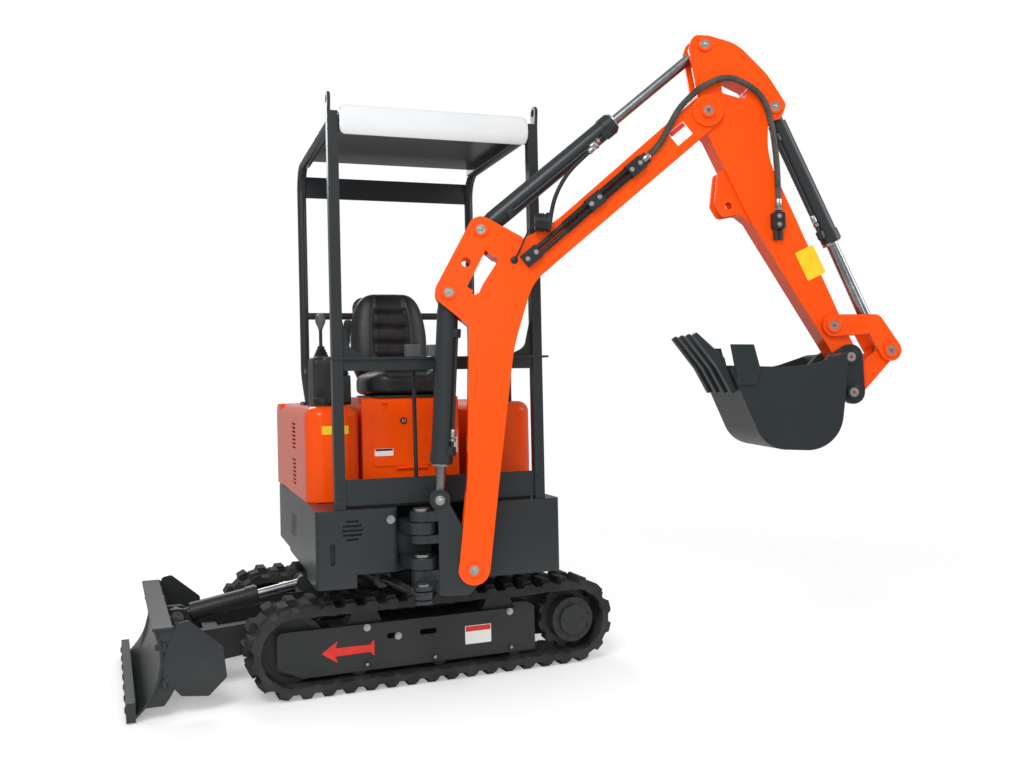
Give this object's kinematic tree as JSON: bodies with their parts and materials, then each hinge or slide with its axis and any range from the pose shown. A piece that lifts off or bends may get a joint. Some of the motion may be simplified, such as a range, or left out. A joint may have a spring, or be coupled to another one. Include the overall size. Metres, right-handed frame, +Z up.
{
  "type": "mini excavator",
  "caption": "Tracked mini digger with open canopy, swinging jointed boom, arm and bucket on closed linkages, slewing house, levelling blade, opening hood and access door.",
  "frame": {"origin": "middle of the base of the bounding box in the rest pose, on the ground", "axes": "+X along the tracks to the blade, +Y to the left track, +Z up"},
  "size_m": [2.8256, 2.2688, 2.4773],
  "materials": {
    "orange_paint": "gloss",
    "charcoal_paint": "satin",
    "black_rubber": "matte",
    "hose_rubber": "matte",
    "chrome_rod": "polished",
    "zinc_steel": "satin",
    "black_vinyl": "satin",
    "cast_grey": "matte",
    "white_paint": "gloss",
    "black_plastic": "matte"
  },
  "bodies": {
    "undercarriage": {"centre_frame": "charcoal_paint", "track_frame_left": "charcoal_paint", "track_frame_right": "charcoal_paint", "rollers_left": "charcoal_paint", "rollers_right": "charcoal_paint", "sprocket_left": "charcoal_paint", "sprocket_right": "charcoal_paint", "track_left": "black_rubber", "track_right": "black_rubber", "slew_ring": "charcoal_paint", "blade_pivot_pins": "zinc_steel"},
    "blade_body": {"blade": "charcoal_paint", "blade_arms": "charcoal_paint", "blade_cylinder_pin": "zinc_steel"},
    "blade_cylinder": {"blade_cylinder_barrel": "charcoal_paint"},
    "blade_piston": {"blade_cylinder_rod": "chrome_rod"},
    "house": {"deck": "charcoal_paint", "front_box_right": "charcoal_paint", "front_box_left": "charcoal_paint", "counterweight": "charcoal_paint", "engine": "cast_grey", "fender_right": "orange_paint", "fender_left": "orange_paint", "side_skirts": "charcoal_paint", "seat_base": "orange_paint", "floor_plate": "charcoal_paint", "seat": "black_vinyl", "consoles": "black_plastic", "controls": "black_plastic", "canopy_front": "charcoal_paint", "canopy_rear": "charcoal_paint", "roof": "charcoal_paint", "roof_panel": "white_paint"},
    "access_door_body": {"access_door": "orange_paint"},
    "hood_body": {"hood": "orange_paint"},
    "swing_cylinder": {"swing_cylinder_barrel": "charcoal_paint"},
    "swing_piston": {"swing_cylinder_rod": "chrome_rod"},
    "swing_body": {"swing_bracket": "charcoal_paint", "swing_pins": "zinc_steel"},
    "boom_body": {"boom": "orange_paint", "boom_pins": "zinc_steel", "boom_hoses": "hose_rubber", "elbow_hose": "hose_rubber", "work_lamp": "black_plastic"},
    "boom_cylinder": {"boom_cylinder_barrel": "charcoal_paint"},
    "boom_piston": {"boom_cylinder_rod": "chrome_rod"},
    "arm_body": {"arm": "orange_paint", "arm_pins": "zinc_steel", "arm_hose_block": "hose_rubber"},
    "arm_cylinder": {"arm_cylinder_barrel": "charcoal_paint"},
    "arm_piston": {"arm_cylinder_rod": "chrome_rod"},
    "bucket_cylinder": {"bucket_cylinder_barrel": "charcoal_paint"},
    "bucket_piston": {"bucket_cylinder_rod": "chrome_rod"},
    "rocker": {"rocker_plates": "orange_paint", "rocker_pins": "zinc_steel"},
    "link": {"bucket_link": "orange_paint"},
    "bucket_body": {"bucket": "charcoal_paint", "bucket_pins": "zinc_steel", "bucket_teeth": "charcoal_paint"}
  },
  "joints": [
    {"name": "slew", "type": "hinge", "parent": "undercarriage", "child": "house", "pos_m": [0.22684, -0.1844, 0.4], "axis": [0, 0, 1], "continuous": true},
    {"name": "boom_swing", "type": "hinge", "parent": "house", "child": "swing_body", "pos_m": [0.36855, 0.47508, 0.6], "axis": [0, 0, 1], "range_deg": [-125.7, 0]},
    {"name": "boom_lift", "type": "hinge", "parent": "swing_body", "child": "boom_body", "pos_m": [0.1881, 0.53129, 0.485], "axis": [-0.2974, -0.9548, 0], "range_deg": [-5, 100]},
    {"name": "arm_crowd", "type": "hinge", "parent": "boom_body", "child": "arm_body", "pos_m": [-0.68741, 0.80398, 2.186], "axis": [-0.2974, -0.9548, 0], "range_deg": [-85, 27], "deforming": ["elbow_hose"]},
    {"name": "bucket_curl", "type": "hinge", "parent": "arm_body", "child": "bucket_body", "pos_m": [-1.1963, 0.96248, 1.247], "axis": [-0.2974, -0.9548, 0], "range_deg": [-135, 8]},
    {"name": "blade_lift", "type": "hinge", "parent": "undercarriage", "child": "blade_body", "pos_m": [0.65684, -0.1844, 0.2], "axis": [0, -1, 0], "range_deg": [-18, 22]},
    {"name": "access_door", "type": "hinge", "parent": "house", "child": "access_door_body", "pos_m": [0.28329, 0.07099, 0.833], "axis": [-0.9986, 0.0523, 0], "range_deg": [0, 85]},
    {"name": "hood_open", "type": "hinge", "parent": "house", "child": "hood_body", "pos_m": [0.25118, -0.54167, 1.113], "axis": [-0.9986, 0.0523, 0], "range_deg": [0, 50]},
    {"name": "swing_barrel_pivot", "type": "hinge", "parent": "house", "child": "swing_cylinder", "pos_m": [0.52853, -0.16016, 0.42], "axis": [0, 0, 1], "range_deg": [-7, 0.08]},
    {"name": "swing_rod_slide", "type": "slide", "parent": "swing_cylinder", "child": "swing_piston", "axis": [-0.1412, 0.99, 0], "range_m": [-0.27755, 0.001]},
    {"name": "boom_barrel_pivot", "type": "hinge", "parent": "boom_body", "child": "boom_cylinder", "pos_m": [0.2578, 0.50958, 1.515], "axis": [-0.2974, -0.9548, 0], "range_deg": [-0.47, 8]},
    {"name": "boom_rod_slide", "type": "slide", "parent": "boom_cylinder", "child": "boom_piston", "axis": [0.0594, -0.0185, -0.9981], "range_m": [-0.02191, 0.41926]},
    {"name": "arm_barrel_pivot", "type": "hinge", "parent": "boom_body", "child": "arm_cylinder", "pos_m": [0.13941, 0.54646, 1.745], "axis": [-0.2974, -0.9548, 0], "range_deg": [-3.58, 1.19]},
    {"name": "arm_rod_slide", "type": "slide", "parent": "arm_cylinder", "child": "arm_piston", "axis": [-0.7431, 0.2315, 0.6279], "range_m": [-0.32551, 0.10408]},
    {"name": "bucket_barrel_pivot", "type": "hinge", "parent": "arm_body", "child": "bucket_cylinder", "pos_m": [-0.94138, 0.88308, 2.207], "axis": [-0.2974, -0.9548, 0], "range_deg": [-6.07, 0.43]},
    {"name": "bucket_rod_slide", "type": "slide", "parent": "bucket_cylinder", "child": "bucket_piston", "axis": [-0.3982, 0.124, -0.9089], "range_m": [-0.28615, 0.0179]},
    {"name": "rocker_pivot", "type": "hinge", "parent": "arm_body", "child": "rocker", "pos_m": [-1.13806, 0.94434, 1.368], "axis": [-0.2974, -0.9548, 0], "range_deg": [-76.2, 4.59]},
    {"name": "link_pivot", "type": "hinge", "parent": "bucket_body", "child": "link", "pos_m": [-1.20489, 0.96516, 1.112], "axis": [-0.2974, -0.9548, 0], "range_deg": [-4.97, 82.69]},
    {"name": "blade_barrel_pivot", "type": "hinge", "parent": "blade_body", "child": "blade_cylinder", "pos_m": [1.21184, -0.1844, 0.262], "axis": [0, -1, 0], "range_deg": [-0.72, 0.86]},
    {"name": "blade_rod_slide", "type": "slide", "parent": "blade_cylinder", "child": "blade_piston", "axis": [-0.9851, 0, 0.1721], "range_m": [-0.05956, 0.04891]}
  ],
  "couplings": [
    {"joint": "swing_barrel_pivot", "follows": "boom_swing", "ratio": 0.055064},
    {"joint": "swing_rod_slide", "follows": "boom_swing", "m_per_rad": 0.12605},
    {"joint": "boom_barrel_pivot", "follows": "boom_lift", "ratio": 0.079234},
    {"joint": "boom_rod_slide", "follows": "boom_lift", "m_per_rad": 0.23964},
    {"joint": "arm_barrel_pivot", "follows": "arm_crowd", "ratio": 0.041135},
    {"joint": "arm_rod_slide", "follows": "arm_crowd", "m_per_rad": 0.21874},
    {"joint": "rocker_pivot", "follows": "bucket_curl", "ratio": 0.56389},
    {"joint": "link_pivot", "follows": "bucket_curl", "ratio": -0.61195},
    {"joint": "bucket_barrel_pivot", "follows": "bucket_curl", "ratio": 0.044352},
    {"joint": "bucket_rod_slide", "follows": "bucket_curl", "m_per_rad": 0.12102},
    {"joint": "blade_barrel_pivot", "follows": "blade_lift", "ratio": 0.035696},
    {"joint": "blade_rod_slide", "follows": "blade_lift", "m_per_rad": -0.1525}
  ]
}
